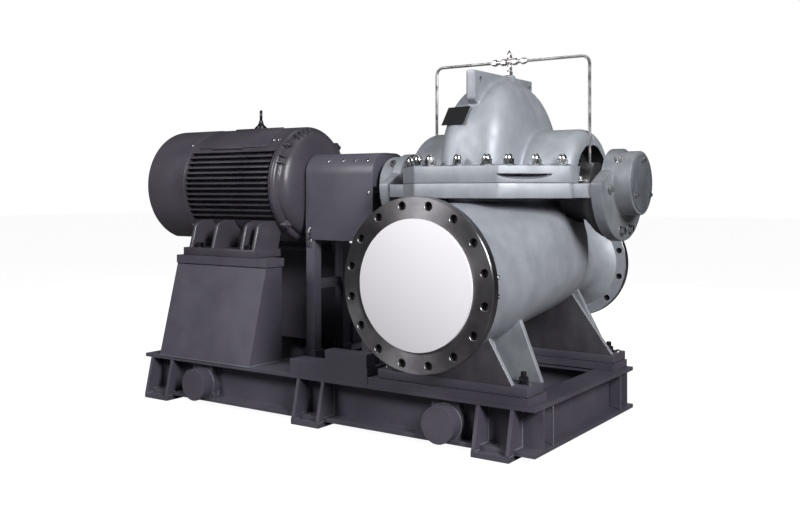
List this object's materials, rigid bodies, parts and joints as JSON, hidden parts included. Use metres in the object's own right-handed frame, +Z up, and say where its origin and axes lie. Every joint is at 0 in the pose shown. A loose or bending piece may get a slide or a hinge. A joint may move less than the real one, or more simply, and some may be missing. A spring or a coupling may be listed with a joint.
{
  "type": "horizontal split-case double-suction pump set",
  "caption": "Horizontal split-case pump with side suction and discharge flanges, driven through a guarded coupling by a finned motor, on a welded base frame.",
  "frame": {"origin": "middle of the base frame's footprint at floor level", "axes": "+X along the shaft from the motor to the pump's free end, +Y towards the discharge nozzle, +Z up"},
  "size_m": [2.354, 1.35, 1.466],
  "materials": {
    "frame_paint": "dark slate satin paint on welded steel",
    "motor_paint": "dark slate satin paint on cast iron and sheet",
    "guard_paint": "dark slate satin paint on folded sheet",
    "casing_paint": "silver-grey satin paint on cast iron",
    "bracket_paint": "blue-grey satin paint on cast iron",
    "machined_steel": "turned steel",
    "stainless": "drawn and turned stainless steel",
    "white_cover": "smooth white sheet, blank",
    "black_plate": "black blank plate"
  },
  "bodies": {
    "root": {"base_front_beam": "frame_paint", "base_rear_beam": "frame_paint", "base_end_beam_left": "frame_paint", "base_end_beam_right": "frame_paint", "base_cross_beam_left": "frame_paint", "base_cross_beam_right": "frame_paint", "base_foot_front_left": "frame_paint", "base_foot_front_middle": "frame_paint", "base_foot_front_right": "frame_paint", "base_foot_rear_left": "frame_paint", "base_foot_rear_middle": "frame_paint", "base_foot_rear_right": "frame_paint", "pump_rail_front": "frame_paint", "pump_rail_rear": "frame_paint", "step_support_front": "frame_paint", "step_support_rear": "frame_paint", "motor_pedestal_front": "frame_paint", "motor_pedestal_rear": "frame_paint", "motor_frame": "motor_paint", "motor_fan_cowl": "motor_paint", "motor_drive_shield": "motor_paint", "motor_eye_bolt": "motor_paint", "motor_terminal_box": "motor_paint", "coupling_guard": "guard_paint", "guard_leg_front_left": "guard_paint", "guard_leg_front_right": "guard_paint", "guard_leg_rear_left": "guard_paint", "guard_leg_rear_right": "guard_paint", "guard_cross_bar_left": "guard_paint", "guard_cross_bar_right": "guard_paint", "coupling_half_motor": "machined_steel", "coupling_half_pump": "machined_steel", "casing_lower": "casing_paint", "casing_upper": "casing_paint", "bearing_housing_drive_end": "bracket_paint", "bearing_housing_free_end": "bracket_paint", "bearing_cover_drive_end": "bracket_paint", "bearing_cover_free_end": "bracket_paint", "gland_drive_end": "stainless", "gland_free_end": "stainless", "pump_shaft": "stainless", "flush_cross": "stainless", "flush_tube_drive_end": "stainless", "flush_tube_free_end": "stainless", "suction_cover": "white_cover", "discharge_cover": "white_cover", "nameplate": "black_plate"}
  },
  "joints": []
}
